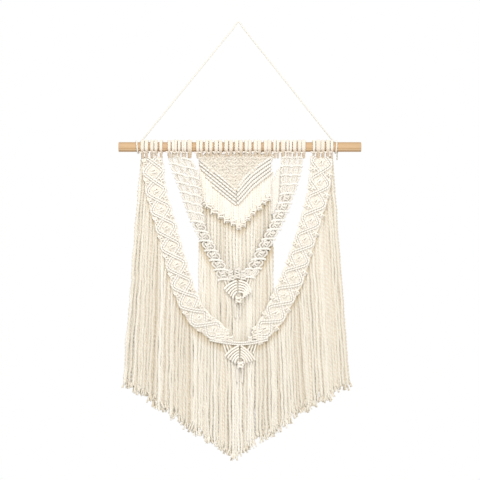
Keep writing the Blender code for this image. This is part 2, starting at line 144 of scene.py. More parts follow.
# ---- The hanging cord ----
# A thin two-ply cotton string. It runs taut from the dowel up to the nail and down again, is wound
# round the dowel at each side and tied, and is cut short on the right.
DOWEL_RADIUS = 0.008
DOWEL_Z = -0.2063
CORD_RADIUS = 0.0015
CORD_LAY = 0.0115  # the length of one full twist
CORD_STEP = 0.0014
CORD_AIR = 0.0003  # between the cord and the wood
CORD_WRAP_STEPS = 14
CORD_WRAP_RADIUS = (DOWEL_RADIUS + CORD_RADIUS + CORD_AIR) / math.cos(math.pi / CORD_WRAP_STEPS)
CORD_WRAP_START = math.radians(45)  # where it meets the dowel, up from the middle of its back
# (x where it meets the dowel, travel a turn, turns) of the wrap at each side
CORD_LEFT_WRAP = (-0.163, -0.0062, 1.1)
CORD_RIGHT_WRAP = (0.1588, 0.004, 1.15)
# shares of the way from the nail to the dowel, at which the route has a point
CORD_RUN = (0.06, 0.25, 0.5, 0.75, 0.9, 0.97)
CORD_TAIL_DROPS = (0.006, 0.011, 0.02)  # the cut end, down from the right wrap


def cord_wrap(x, pitch, turns):
    """Turns that meet the dowel behind its top and go down its back, under it and up its front."""
    points = []
    for k in range(int(turns * CORD_WRAP_STEPS) + 1):
        angle = CORD_WRAP_START - 2 * math.pi * k / CORD_WRAP_STEPS
        y = CORD_WRAP_RADIUS * math.cos(angle)
        z = CORD_WRAP_RADIUS * math.sin(angle)
        points.append((x + pitch * k / CORD_WRAP_STEPS, y, DOWEL_Z + z))
    return points


CURVE_STEPS = 12  # points to measure a curve by, from one of its given points to the next


def way_along(points):
    """How far along a line each of its points lies."""
    steps = np.linalg.norm(np.diff(points, axis=0), axis=1)
    return np.concatenate([[0.0], np.cumsum(steps)])


def smooth_line(points, step):
    """Evenly spaced points on a smooth curve through a few."""
    points = np.asarray(points, float)
    ends = np.vstack([2 * points[0] - points[1], points, 2 * points[-1] - points[-2]])
    a, b, c, d = ends[:-3, None], ends[1:-2, None], ends[2:-1, None], ends[3:, None]
    t = np.linspace(0, 1, CURVE_STEPS, endpoint=False)[None, :, None]
    curve = b + 0.5 * t * (c - a + t * (2 * a - 5 * b + 4 * c - d + t * (3 * (b - c) + d - a)))
    curve = np.vstack([curve.reshape(-1, 3), points[-1:]])
    along = way_along(curve)
    spots = np.linspace(0, along[-1], max(4, round(along[-1] / step) + 1))
    return np.stack([np.interp(spots, along, curve[:, k]) for k in range(3)], axis=1)


TO_FRONT = np.array((0.0, -1.0, 0.0))
DOWN = np.array((0.0, 0.0, -1.0))


def tube_faces(rings, sides):
    """The faces of a closed tube whose points lie ring after ring."""
    grid = np.arange(rings * sides).reshape(-1, sides)
    beside = np.roll(grid, -1, axis=1)
    faces = np.stack([grid[:-1], beside[:-1], beside[1:], grid[1:]], axis=-1).reshape(-1, 4)
    return faces.tolist() + [grid[0][::-1].tolist(), grid[-1].tolist()]


def twisted(line, radius, lay, plies=3, groove=0.22, columns=6, flat=1.0):
    """A rope laid up along a line, as (points, faces, where each point's fibre lies, the painted
    shade of each point, the rope's tone). The painted shade is deeper in a groove between two
    plies and down the rope's sides, where the rope and its neighbours would shade it. lay is the
    length of one full twist. flat is the share of its thickness left where it is pressed flat."""
    along = way_along(line)
    way = np.gradient(line, axis=0)
    way /= np.linalg.norm(way, axis=1)[:, None]
    normal = TO_FRONT if abs(way[0, 1]) < 0.9 else -DOWN
    front = np.empty_like(line)
    for k, ahead in enumerate(way):
        normal = normal - ahead * (normal @ ahead)
        normal /= np.linalg.norm(normal)
        front[k] = normal
    side = np.cross(way, front)
    column = 2 * math.pi * np.arange(columns) / columns
    sunk = 1 - np.abs(np.sin(plies * column / 2))
    ridge = 1 - groove * sunk
    turn = column + 2 * math.pi * along[:, None] / lay + chance.uniform(0, 2 * math.pi)
    reach = np.broadcast_to(radius, len(line))[:, None] * ridge
    out = np.cos(turn)[..., None] * side[:, None] + np.sin(turn)[..., None] * front[:, None] * flat
    points = line[:, None] + reach[..., None] * out
    # Painted shade down the rope's sides, added to the painted shade in its grooves.
    side_shade = np.clip(1.2 - 2.0 * np.abs(out[..., 1]), 0.0, 1.0)
    fibre = np.stack(np.broadcast_arrays(
        reach * np.cos(column), reach * np.sin(column), along[:, None] + chance.uniform(0, 5),
    ), axis=-1)
    return (
        points.reshape(-1, 3), tube_faces(len(line), columns), fibre.reshape(-1, 3),
        np.clip(0.6 * sunk + side_shade, 0.0, 1.0).ravel(), chance.uniform(0, 1),
    )


def paint_shade_by_height(ropes, shade_z, lit_z, depth):
    """The same ropes with painted shade: deeper in colour where they lie folded away from the
    light, by depth at the first height given and beyond it, and less and less until the second."""
    deeper = []
    for points, faces, fibre, sunk, tone in ropes:
        hidden = np.clip((points[:, 2] - lit_z) / (shade_z - lit_z), 0.0, 1.0)
        deeper.append((points, faces, fibre, sunk + depth * hidden, tone))
    return deeper


def lay_up(name, ropes, cotton, node):
    """One piece of many ropes, which takes the place of its CAD node."""
    first, faces = 0, []
    for points, rope_faces, *_ in ropes:
        faces += [[corner + first for corner in face] for face in rope_faces]
        first += len(points)
    points, _, fibres, shade_paint, _ = zip(*ropes)
    tones = [np.full(len(rope[0]), rope[4]) for rope in ropes]
    piece = add_mesh(name, np.vstack(points), faces, cotton)
    for attribute, kind, field, values in (
        ("fibre_place", "FLOAT_VECTOR", "vector", fibres),
        ("painted_shade", "FLOAT", "value", shade_paint),
        ("strand_tone", "FLOAT", "value", tones),
    ):
        made = piece.data.attributes.new(attribute, kind, "POINT")
        made.data.foreach_set(field, np.concatenate(values).ravel())
    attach(piece, "root")
    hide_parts(node)
    return piece


FIBRE_STRETCH = (1.0, 1.0, 0.09)  # the fibres are long along the rope


def cotton_material(name, pale, deep, patches, fibres, strands, shade_paint, fuzz=0.4):
    """Matte spun cotton with a soft fuzz at its edges. It goes from pale to deep by its patches,
    its fibres, the tones of its strands and its painted shade, each with a share. The painted
    shade lies in the grooves between its plies, down the sides of its ropes and where they lie in
    shade; deep is also the colour of that painted shade."""
    made, shader = new_material(name, {
        "Roughness": 0.92, "Diffuse Roughness": 1.0, "Specular IOR Level": 0.15,
        "Sheen Weight": fuzz, "Sheen Roughness": 0.6,
    })
    tree = made.node_tree
    place, tone, groove = (add_node(tree, "ShaderNodeAttribute") for _ in range(3))
    place.attribute_name = "fibre_place"
    tone.attribute_name = "strand_tone"
    # This node reads the painted shade: deeper in the ply grooves, down the ropes' sides and where
    # ropes lie in shade.
    groove.attribute_name = "painted_shade"
    stretch = set_inputs(add_node(tree, "ShaderNodeVectorMath"), {1: FIBRE_STRETCH})
    stretch.operation = "MULTIPLY"
    fine = add_node(tree, "ShaderNodeTexNoise", Scale=2600.0, Detail=2.0)
    broad = add_node(tree, "ShaderNodeTexNoise", Scale=90.0, Detail=2.0)
    bump = add_node(tree, "ShaderNodeBump", Strength=0.35, Distance=0.0002)
    colour = add_node(tree, "ShaderNodeMix")
    colour.data_type = "RGBA"
    set_inputs(colour, {MIX_A: (*pale, 1.0), MIX_B: (*deep, 1.0)})
    total = None
    for source, share in ((fine, fibres), (broad, patches), (tone, strands), (groove, shade_paint)):
        weigh = set_inputs(add_node(tree, "ShaderNodeMath"), {1: share, 2: 0.0})
        weigh.operation = "MULTIPLY_ADD"
        join(tree, (source.outputs["Fac"], weigh.inputs[0]))
        if total:
            join(tree, (total, weigh.inputs[2]))
        total = weigh.outputs[0]
    join(
        tree, (place.outputs["Vector"], stretch.inputs[0]),
        (stretch.outputs["Vector"], fine.inputs["Vector"]),
        (place.outputs["Vector"], broad.inputs["Vector"]),
        (total, colour.inputs[MIX_SHARE]), (fine.outputs["Fac"], bump.inputs["Height"]),
        (colour.outputs[MIX_RESULT], shader.inputs["Base Color"]),
        (bump.outputs["Normal"], shader.inputs["Normal"]),
    )
    return made


left_wrap = cord_wrap(*CORD_LEFT_WRAP)
right_wrap = cord_wrap(*CORD_RIGHT_WRAP)
left_run = [tuple(c * share for c in left_wrap[0]) for share in CORD_RUN[::-1]]
right_run = [tuple(c * share for c in right_wrap[0]) for share in CORD_RUN]
tail_x, tail_y, tail_z = right_wrap[-1]
right_tail = [(tail_x, tail_y, tail_z - drop) for drop in CORD_TAIL_DROPS]
cord_route = left_wrap[::-1] + left_run + [(0.0, 0.0, 0.0)] + right_run + right_wrap + right_tail
cord_line = smooth_line(cord_route, CORD_STEP)
cord_cotton = cotton_material(
    "cord_cotton", pale=(0.93, 0.91, 0.86), deep=(0.70, 0.665, 0.58),
    patches=0.2, fibres=0.3, strands=0.0, shade_paint=0.5, fuzz=0.3,
)
cord_rope = twisted(cord_line, CORD_RADIUS, CORD_LAY, plies=2, groove=0.42, columns=8)
hanging_cord = lay_up(
    "hanging_cord_string", [cord_rope], cord_cotton, "hanging_cord",
)

# ---- The dowel ----
# A light softwood rod, turned, sanded and left bare, with its two ends sawn square.
# Long grain runs down it, and the sawn ends show its rings.
DOWEL_LENGTH = 0.4
DOWEL_MID_X = 0.0023
DOWEL_EASE = 0.0006
DOWEL_RINGS = 40
DOWEL_SIDES = 48

# (distance from the end, radius) of the eased rim and the face of the sawn end
DOWEL_RIM = [
    (0.0, 0.0012), (0.0, DOWEL_RADIUS - 0.003), (0.0, DOWEL_RADIUS - DOWEL_EASE),
    (0.00018, DOWEL_RADIUS - 0.00018), (DOWEL_EASE, DOWEL_RADIUS),
]
left_end, right_end = DOWEL_MID_X - DOWEL_LENGTH / 2, DOWEL_MID_X + DOWEL_LENGTH / 2
turned = [(left_end + away, radius) for away, radius in DOWEL_RIM]
turned += [(x, DOWEL_RADIUS) for x in np.linspace(left_end + 0.01, right_end - 0.01, DOWEL_RINGS)]
turned += [(right_end - away, radius) for away, radius in DOWEL_RIM[::-1]]
dowel_points = []
for x, radius in turned:
    for j in range(DOWEL_SIDES):
        angle = 2 * math.pi * j / DOWEL_SIDES
        dowel_points.append((x, radius * math.cos(angle), DOWEL_Z + radius * math.sin(angle)))

dowel_wood, wood_shader = new_material("dowel_wood", {"Roughness": 0.55})
wood = dowel_wood.node_tree
wood_place = add_node(wood, "ShaderNodeTexCoord").outputs["Object"]
# Rings about a heart that lies off the rod's middle: slow waves along the grain.
grain_space = add_node(
    wood, "ShaderNodeMapping", Location=(0.0, 0.0105, 0.2140), Scale=(0.05, 1.0, 1.0),
)
rings = add_node(wood, "ShaderNodeTexWave", Scale=190.0, Distortion=2.5, Detail=2.0)
set_inputs(rings, {"Detail Scale": 0.6})
rings.wave_type = "RINGS"
rings.rings_direction = "X"
pore_space = add_node(wood, "ShaderNodeMapping", Scale=(0.04, 1.0, 1.0))
pores = add_node(wood, "ShaderNodeTexNoise", Scale=1500.0, Detail=3.0)
wood_tone = set_inputs(add_node(wood, "ShaderNodeMath"), {1: 0.45})
wood_tone.operation = "MULTIPLY_ADD"
wood_ramp = add_node(wood, "ShaderNodeValToRGB")
early_wood, late_wood = wood_ramp.color_ramp.elements
early_wood.position, early_wood.color = 0.15, (0.69, 0.49, 0.29, 1.0)
late_wood.position, late_wood.color = 1.0, (0.49, 0.3, 0.15, 1.0)
wood_bump = add_node(wood, "ShaderNodeBump", Strength=0.2, Distance=0.0002)
join(
    wood,
    (wood_place, grain_space.inputs["Vector"]), (wood_place, pore_space.inputs["Vector"]),
    (grain_space.outputs["Vector"], rings.inputs["Vector"]),
    (pore_space.outputs["Vector"], pores.inputs["Vector"]),
    (pores.outputs["Fac"], wood_tone.inputs[0]), (rings.outputs["Fac"], wood_tone.inputs[2]),
    (wood_tone.outputs[0], wood_ramp.inputs["Fac"]),
    (wood_ramp.outputs["Color"], wood_shader.inputs["Base Color"]),
    (pores.outputs["Fac"], wood_bump.inputs["Height"]),
    (wood_bump.outputs["Normal"], wood_shader.inputs["Normal"]),
)
turned_dowel = add_mesh(
    "turned_dowel", dowel_points, tube_faces(len(turned), DOWEL_SIDES), dowel_wood,
)
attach(turned_dowel, "root")
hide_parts("dowel")

# ---- The loops over the dowel ----
# Each length of rope is folded in half and looped over the dowel with a lark's head: two turns
# side by side, held by the bight that crosses them just under the dowel.
ROPE_LAY = 0.0135
LOOP_FLAT = 0.002  # half the thickness of the rope where it is pulled flat round the wood
LOOP_AIR = 0.0003  # between the rope and the wood
LOOP_ANGLES = (232, 205, 180, 150, 120, 90, 60, 30, 0, -30, -62, -95)  # front, over and back
LOOP_LEG_FOOT = -0.2245
LOOP_LEG_WIDTH = 0.74  # the width of a loop's legs, to that of its turn
LOOP_CLOSER = 0.0004  # how much wider each bunch is than in the table below
TURN_WIDTH = 0.0056
TURN_OVERLAP = 1.04  # the turns of a bunch press into each other
BIGHT_HEIGHT = -0.2156
BIGHT_FORWARD = 0.0088
# the short fold of a rope that shows between two turns, as a bright dot
BIGHT_FOLD = np.array([
    (-0.0019, 0.0034, 0.0010), (-0.0008, -0.0004, 0.0002), (0.0008, -0.0004, 0.0),
    (0.0019, 0.0034, 0.0006),
])

# (left, right) of each close bunch of turns on the dowel
OUTER_LOOPS = [
    (-0.1606, -0.1484), (-0.1453, -0.1332), (-0.1299, -0.1248),
    (0.1218, 0.1262), (0.1274, 0.1351), (0.1363, 0.1427), (0.1438, 0.1503), (0.1513, 0.1560),
]
INNER_LOOPS = [
    (-0.1168, -0.1117), (-0.1102, -0.0958), (-0.0942, -0.0857), (-0.0843, -0.0764),
    (0.0787, 0.0876), (0.0896, 0.0959), (0.0972, 0.1035), (0.1046, 0.1110),
]
CENTRE_LOOPS = [
    (-0.0695, -0.0584), (-0.0552, -0.0428), (-0.0396, -0.0270), (-0.0228, -0.0096),
    (-0.0062, 0.0068), (0.0098, 0.0215), (0.0246, 0.0378), (0.0413, 0.0545),
    (0.0576, 0.0672), (0.0698, 0.0774),
]


def stray(reach, size=None):
    """A distance by chance, or several, of up to reach either way."""
    return chance.uniform(-reach, reach, size)


def strand(points, radius, step, **form):
    """A length of the rope that the hanging is knotted from, on a smooth curve through points."""
    return twisted(smooth_line(points, step), radius, ROPE_LAY, **form)


def dowel_turn(x, foot_y, half_wide):
    """One turn of rope round the dowel: up its front, over, down its back and out at the foot."""
    radius = DOWEL_RADIUS + LOOP_FLAT + LOOP_AIR
    line = [(x, foot_y, LOOP_LEG_FOOT)]
    lean = stray(0.0006)
    for degrees in LOOP_ANGLES:
        angle = math.radians(degrees)
        y, z = radius * math.cos(angle), radius * math.sin(angle)
        line.append((x + lean * math.cos(angle), y, DOWEL_Z + z))
    line = smooth_line(line, 0.0012)
    squeezed = np.interp(line[:, 2], (LOOP_LEG_FOOT, DOWEL_Z - 0.003), (LOOP_LEG_WIDTH, 1.0))
    return twisted(
        line, half_wide * squeezed, ROPE_LAY, groove=0.16, columns=9, flat=LOOP_FLAT / half_wide,
    )


def bunches(loops, panel_y):
    """The turns of every bunch, and a row of bights below them."""
    turns_made, folds = [], []
    for left, right in loops:
        turns = max(1, round((right - left) / TURN_WIDTH))
        half_wide = (right - left + LOOP_CLOSER) / turns / 2 * TURN_OVERLAP
        for j in range(turns):
            share = (j + 0.5) / turns
            x = left + (right - left) * share + LOOP_CLOSER * (share - 0.5) + stray(0.0002)
            turns_made.append(dowel_turn(x, panel_y, half_wide))
            beside = (x - half_wide, panel_y - BIGHT_FORWARD, BIGHT_HEIGHT + stray(0.0008))
            folds.append(strand(BIGHT_FOLD + beside, radius=0.0014, step=0.0007))
    # Painted shade: the legs, tucked under the dowel, are deeper in colour.
    turns_made = paint_shade_by_height(turns_made, LOOP_LEG_FOOT + 0.005, DOWEL_Z - 0.003, depth=1.0)
    return turns_made + folds


looped_cotton = cotton_material(
    "looped_cotton", pale=(0.94, 0.920, 0.878), deep=(0.66, 0.51, 0.335),
    patches=0.06, fibres=0.08, strands=0.1, shade_paint=0.4,
)
for name, loops, panel_y, node in (
    ("outer_loops", OUTER_LOOPS, -0.0010, "outer_garland"),
    ("inner_loops", INNER_LOOPS, -0.0010, "inner_garland"),
    ("centre_loops", CENTRE_LOOPS, 0.0000, "centre_panel"),
):
    lay_up(name, bunches(loops, panel_y), looped_cotton, node)

# ---- The centre panel's knots ----
# Under the loops lie rows of square knots, each row set half a knot to one side of the last, in a
# triangle that points down. Each knot ties two outer ropes round the two between them.
FIELD_TOP = -0.2215
FIELD_FOOT = -0.274
FIELD_PITCH = 0.0106
FIELD_ROW = 0.0058
FIELD_MIDDLE = 0.0003  # x of the knot at its middle
FIELD_BACKING = 0.0038  # from one to the next of the ropes that show between the knots
CENTRE_Y = 0.006  # where the panel hangs, below its first rows


def tie(*half):
    """A rope through a knot, from points up to its middle, which the rest mirrors below."""
    return np.vstack([half, np.array(half[-2::-1]) * (1, -1, 1)])


# (across, along, towards the front) in rope thicknesses, of a square knot's four ropes: the one
# that crosses in front of it, the one that crosses behind it, and the two that run through it
KNOT_ROPES = [
    tie((-2.1, -1.3, 0.0), (-1.9, -0.95, 0.5), (-0.9, -0.7, 1.15), (0.6, -0.55, 1.25),
        (1.7, -0.35, 0.8), (2.15, 0.0, 0.0)),
    tie((2.1, -1.3, 0.0), (2.0, -0.9, 0.9), (1.5, -0.5, -0.6), (0.0, -0.5, -1.1),
        (-1.5, -0.4, -0.3), (-2.0, 0.0, 1.0)),
    tie((-0.62, -1.3, 0.0), (-0.5, 0.0, 0.0)),
    tie((0.62, -1.3, 0.0), (0.5, 0.0, 0.0)),
]


def square_knot(middle, down, radius, half_wide, reach, relief=1.0):
    """A square knot whose ropes run along down. reach is from its middle to where they leave, and
    relief is below 1 where it is pressed flat."""
    down = np.asarray(down, float) / np.linalg.norm(down)
    across = np.cross(down, TO_FRONT)
    thickness = 2 * radius
    ropes = []
    for places in KNOT_ROPES:
        places = places * thickness
        places[:, 0] *= (half_wide - radius) / (2.1 * thickness)
        places[:, 2] *= relief
        places[[0, -1], 1] = np.array((-1, 1)) * reach
        places = places + stray(0.05, places.shape) * thickness
        line = middle + places[:, :1] * across + places[:, 1:2] * down + places[:, 2:] * TO_FRONT
        ropes.append(twisted(smooth_line(line, 0.0011), radius, 5 * thickness))
    return ropes


# The chevron below the field: level bars on its left, and on its right bars that open out.
CHEVRON_BARS = 5
BAR_DROP = 0.0063  # from one bar's middle down to the next, on the left
LEFT_BAR_TOP = -0.2242  # where the grooves begin at the panel's left edge
LEFT_BAR_SLOPE = -0.815
CHEVRON_LEFT, CHEVRON_POINT, CHEVRON_RIGHT = -0.064, -0.003, 0.0545
# (x, z of the top groove, z of the bottom groove)
RIGHT_BARS = np.array([
    (-0.0030, -0.2700, -0.3050), (0.0091, -0.2549, -0.2921), (0.0223, -0.2409, -0.2772),
    (0.0355, -0.2318, -0.2657), (0.0545, -0.2195, -0.2508),
])


def read_at(x, table, given=0, wanted=1):
    """One column of a table where another one is x."""
    return np.interp(x, table[:, given], table[:, wanted])


def chevron_edge(x, share):
    """The height of the chevron at x: its top groove at share 0, its bottom groove at share 1."""
    left = LEFT_BAR_TOP + LEFT_BAR_SLOPE * (x - CHEVRON_LEFT) - share * CHEVRON_BARS * BAR_DROP
    top, bottom = read_at(x, RIGHT_BARS), read_at(x, RIGHT_BARS, wanted=2)
    return np.where(x < CHEVRON_POINT, left, top + (bottom - top) * share)


def centre_depth(z):
    """The panel leans back from the loops until it hangs behind the inner garland."""
    return 0.0005 + (CENTRE_Y - 0.0005) * np.clip((FIELD_TOP - z) / 0.03, 0.0, 1.0)


def down_panel(x, top, foot, count, forward):
    """Points down the panel at x, in front of its middle."""
    heights = np.linspace(top, foot, count)
    return np.stack([np.full(count, x), centre_depth(heights) - forward, heights], axis=1)


field = []
row, z = 0, FIELD_TOP
while z > FIELD_FOOT:
    for k in range(-7, 8):
        x = (k + 0.5 * (row % 2)) * FIELD_PITCH + FIELD_MIDDLE
        if CHEVRON_LEFT - 0.004 < x < CHEVRON_RIGHT + 0.006 and z > chevron_edge(x, 0.0) - 0.003:
            place = np.array((x, centre_depth(z), z)) + stray(0.0005, 3)
            down = (0.75 * (-1) ** (row + k) + stray(0.3), 0.0, -1.0)
            field += square_knot(
                place, down, radius=0.0021, half_wide=0.0054, reach=FIELD_ROW * 0.6, relief=0.6,
            )
    row, z = row + 1, z - FIELD_ROW
for x in np.arange(CHEVRON_LEFT, CHEVRON_RIGHT + 0.004, FIELD_BACKING):
    line = down_panel(x, FIELD_TOP + 0.002, chevron_edge(x, 0.1), 8, 0.0012)
    field.append(strand(line, radius=0.0024, step=0.0024))
# Painted shade: the top of the field, just under the loops, is deeper in colour.
field = paint_shade_by_height(field, FIELD_TOP + 0.004, FIELD_TOP - 0.012, depth=0.7)
even_cotton = cotton_material(
    "even_cotton", pale=(0.845, 0.815, 0.760), deep=(0.74, 0.65, 0.52),
    patches=0.2, fibres=0.15, strands=0.25, shade_paint=0.2,
)
lay_up("centre_knots", field, even_cotton, "centre_panel")

# ---- The centre panel's chevron ----
# Five bars of half hitches run down each side to a point. A bar is one rope laid across the
# others, and each of them is wound round it, so that it looks like a coil. The ropes then hang
# straight to a row of square knots.
HITCH_PITCH = 0.0036


def hitched(line, radius, pitch=HITCH_PITCH, groove=0.22):
    """A bar of half hitches along a line."""
    return twisted(smooth_line(line, pitch / 6), radius, pitch, plies=1, groove=groove, columns=8)


# How far in from the panel's left edge each of the left bars begins.
BAR_STARTS = [0.0, 0.0, 0.002, 0.01, 0.02]
chevron_bars = []
for bar, begins in enumerate(BAR_STARTS):
    share = (bar + 0.5) / CHEVRON_BARS
    # The left bars are wound slackly and look plain, the right ones look coiled.
    for start, end, pitch, groove, thick in (
        (CHEVRON_LEFT + begins, CHEVRON_POINT - 0.0008, 0.007, 0.05, 0.76),
        (CHEVRON_POINT + 0.001, CHEVRON_RIGHT, HITCH_PITCH, 0.24, 0.97),
    ):
        xs = np.linspace(start, end, 10)
        z = chevron_edge(xs, share)
        line = np.stack([xs, centre_depth(z) - 0.0024, z], axis=1)
        line = smooth_line(line, pitch / 6)
        drop = chevron_edge(line[:, 0], 0.0) - chevron_edge(line[:, 0], 1.0)
        slope = np.abs(np.gradient(line[:, 2]) / np.gradient(line[:, 0]))
        radius = drop / CHEVRON_BARS / 2 / np.sqrt(1 + slope**2) * thick
        chevron_bars.append(twisted(line, radius, pitch, plies=1, groove=groove, columns=8))

# (x, z) along the row of knots below the chevron
LOWER_ROW = np.array([
    (-0.0640, -0.2970), (-0.0364, -0.3143), (0.0030, -0.3407), (0.0338, -0.3061),
    (0.0560, -0.2835),
])
CENTRE_ROPES = 32
FIRST_ROPE, LAST_ROPE = -0.0635, 0.0555  # x of the ropes at the panel's two sides
CENTRE_ROPE_RADIUS = 0.0023
behind_bars, chevron_ropes = [], []
for x in np.linspace(FIRST_ROPE, LAST_ROPE, CENTRE_ROPES):
    last_bar = sum(x > CHEVRON_LEFT + begins for begins in BAR_STARTS) / CHEVRON_BARS
    if x < CHEVRON_RIGHT - 0.001:
        line = down_panel(x, chevron_edge(x, -0.15), chevron_edge(x, last_bar - 0.05), 6, -0.001)
        behind_bars.append(strand(line, CENTRE_ROPE_RADIUS, step=0.0024))
    knee = float(chevron_edge(x, last_bar - 0.1))
    foot = read_at(x, LOWER_ROW)
    sway = stray(0.0006, 3)
    depth = CENTRE_Y - 0.0002 + chance.uniform(-0.0005, 0.001)
    line = [
        (x, depth + 0.001, knee), (x + sway[0], depth, knee * 0.6 + foot * 0.4),
        (x + sway[1], depth, knee * 0.2 + foot * 0.8), (x + sway[2] * 0.5, depth, foot),
    ]
    rope = [strand(line, CENTRE_ROPE_RADIUS, step=0.0022)]
    # Painted shade: where the rope passes behind the bars it is deeper in colour.
    chevron_ropes += paint_shade_by_height(rope, knee, float(chevron_edge(x, last_bar + 0.02)), depth=2.5)
hitched_cotton = cotton_material(
    "hitched_cotton", pale=(0.95, 0.935, 0.897), deep=(0.54, 0.46, 0.34),
    patches=0.04, fibres=0.06, strands=0.04, shade_paint=0.7,
)
lay_up("centre_chevron", chevron_bars + behind_bars, hitched_cotton, "centre_panel")

# (x, half width) of the knots of the lower row: broad ones on its left, closer ones on its right
LOWER_KNOTS = [
    (-0.0590, 0.0060), (-0.0490, 0.0070), (-0.0385, 0.0078), (-0.0280, 0.0066), (-0.0185, 0.0070),
    (-0.0085, 0.0056), (0.0000, 0.0046), (0.0080, 0.0052), (0.0165, 0.0050), (0.0250, 0.0054),
    (0.0335, 0.0048), (0.0420, 0.0052), (0.0500, 0.0050),
]
lower_knots = []
for x, half_wide in LOWER_KNOTS:
    z = read_at(x, LOWER_ROW) + 0.0015 + stray(0.0016)
    middle = np.array((x + stray(0.0012), CENTRE_Y - 0.0014, z))
    down = (stray(0.35), 0.0, -1.0)
    lower_knots += square_knot(middle, down, radius=0.0016, half_wide=half_wide, reach=0.0054)
knotted_cotton = cotton_material(
    "knotted_cotton", pale=(0.945, 0.930, 0.893), deep=(0.78, 0.67, 0.52),
    patches=0.1, fibres=0.1, strands=0.15, shade_paint=0.35,
)
lay_up("centre_short_ropes", chevron_ropes + lower_knots, knotted_cotton, "centre_panel")

# ---- The centre's fringe ----
# The centre panel's ropes hang loose from the lower row and are cut behind the inner garland.
# Each has kept the waves of its own twist.
FRINGE_STEP = 0.0026
FRINGE_LAY = 0.021
WAVE_STEP = 0.011  # from one small bend of a rope to the next
LONG_WAVES = (0.07, 0.15)
WAVE_FREE = 0.05  # how far below its root a rope waves fully
FRAYED_STEPS = 4
FRAYED_LAY = 0.012
PLY_TURN = 2.1  # the angle from one of the three plies to the next
# Painted shade on the fringe ropes' upper ends, which hang hidden under the knots above.
ROOT_SHADE = 1.3  # how much deeper in colour the hidden upper ends are
# A fringe is hung in two layers, and a layer's ropes hang at this share of their spacing.
FRONT_LAYER, BACK_LAYER = 0.25, 0.75
# (width, sideways pull, share of the tone, phase) of the loose bunches that the ropes gather in.
# The tone is painted shade, deepest where a bunch's pull spreads the ropes apart.
BUNCHES = [(0.0190, 0.0008, 0.14, 1.0), (0.0310, 0.0014, 0.18, 2.6), (0.0660, 0.0016, 0.26, 0.4)]


def bunched(x, layer):
    """How far a rope at x is pulled sideways into its bunch, and its tone, pale at 0. The tone is
    deeper towards the sides of the hanging. It also carries painted shade: deeper where the
    bunches part and the ropes spread apart, and in the back layer, whose ropes hang straight
    behind the front ones."""
    pull, tone = 0.0, 0.34 + 0.34 * min(1.0, (x / 0.11)**2)
    for width, reach, shade, phase in BUNCHES:
        angle = 2 * math.pi * x / width + phase + 9.0 * layer
        pull += reach * math.sin(angle)
        tone += shade * math.cos(angle)
    tone = 0.6 * min(1.0, max(0.0, tone + stray(0.26)))
    # Painted shade: the back layer's ropes are deeper in tone, as in the shade of the front layer.
    return (pull, tone) if layer == FRONT_LAYER else (0.0, tone + 0.4)


def hanging_rope(root, tip, radius, wave, pull, tone):
    """A loose rope from its root to its cut tip, where its plies come apart. wave is the size of
    its waves, which grow as it hangs free, and pull its way sideways."""
    root, tip = np.asarray(root, float), np.asarray(tip, float)
    length = np.linalg.norm(tip - root)
    count = max(5, round(length / WAVE_STEP))
    part = np.linspace(0, 1, count)[:, None]
    free = np.clip(part * length / WAVE_FREE, 0, 1)
    line = root + (tip - root) * part
    line[:, :2] += free * chance.normal(0, wave * 0.45, (count, 2))
    line[:, :1] += free * pull
    for wavelength in LONG_WAVES:
        turn = chance.uniform(0, 2 * math.pi)
        line[:, :1] += free * wave * 0.6 * np.sin(part * length / wavelength * 2 * math.pi + turn)
    line = smooth_line(line, FRINGE_STEP)
    whole = line[:-FRAYED_STEPS]
    ropes = [twisted(whole, radius, FRINGE_LAY * chance.uniform(0.85, 1.2), groove=0.22)]
    turn = chance.uniform(0, 2 * math.pi)
    for ply in range(3):
        angle = turn + PLY_TURN * ply
        out = np.array((math.cos(angle), math.sin(angle), 0.0))
        spread = chance.uniform(0.6, 1.7) * radius
        end = tip + out * spread + (0.0, 0.0, chance.uniform(-0.002, 0.003))
        frayed = [
            whole[-2] + out * radius * 0.3, whole[-1] + out * radius * 0.42,
            (whole[-1] + end) / 2 + out * spread * 0.15, end,
        ]
        frayed = smooth_line(frayed, FRINGE_STEP)
        ropes.append(twisted(frayed, radius * 0.52, FRAYED_LAY, plies=2, columns=4))
    # Painted shade: the upper ends, hidden under the knots above, are deeper in colour.
    ropes = paint_shade_by_height(ropes, root[2] - 0.004, root[2] - 0.022, ROOT_SHADE)
    return [(*rope[:4], tone) for rope in ropes]


fringe_cotton = cotton_material(
    "fringe_cotton", pale=(0.968, 0.957, 0.924), deep=(0.660, 0.560, 0.395),
    patches=0.08, fibres=0.1, strands=0.4, shade_paint=0.48,
)
CENTRE_STRANDS = 20
CENTRE_LEFT, CENTRE_WIDTH = -0.064, 0.1205
CENTRE_TIPS = np.array([(-0.063, -0.56), (0.004, -0.6), (0.056, -0.55)])
centre_ropes = []
for layer, back in ((FRONT_LAYER, 0.0002), (BACK_LAYER, 0.0024)):
    for x in CENTRE_LEFT + CENTRE_WIDTH * (np.arange(CENTRE_STRANDS) + layer) / CENTRE_STRANDS:
        x += stray(0.0006)
        tip_z = read_at(x, CENTRE_TIPS) + chance.normal(0, 0.005)
        y = CENTRE_Y + back + chance.uniform(-0.0005, 0.0008)
        root = (x, y, read_at(x, LOWER_ROW) + 0.003)
        tip = (x + chance.normal(0, 0.001), y, tip_z)
        pull, tone = bunched(x, layer)
        centre_ropes += hanging_rope(root, tip, 0.0028, wave=0.0006, pull=0.4 * pull, tone=tone)
lay_up("centre_fringe_ropes", centre_ropes, fringe_cotton, "centre_fringe")

# ---- The inner garland ----
# A narrow net of rope that sweeps from the inner loops down to the middle and up again. A leaf of
# curved bars hangs at its lowest point.

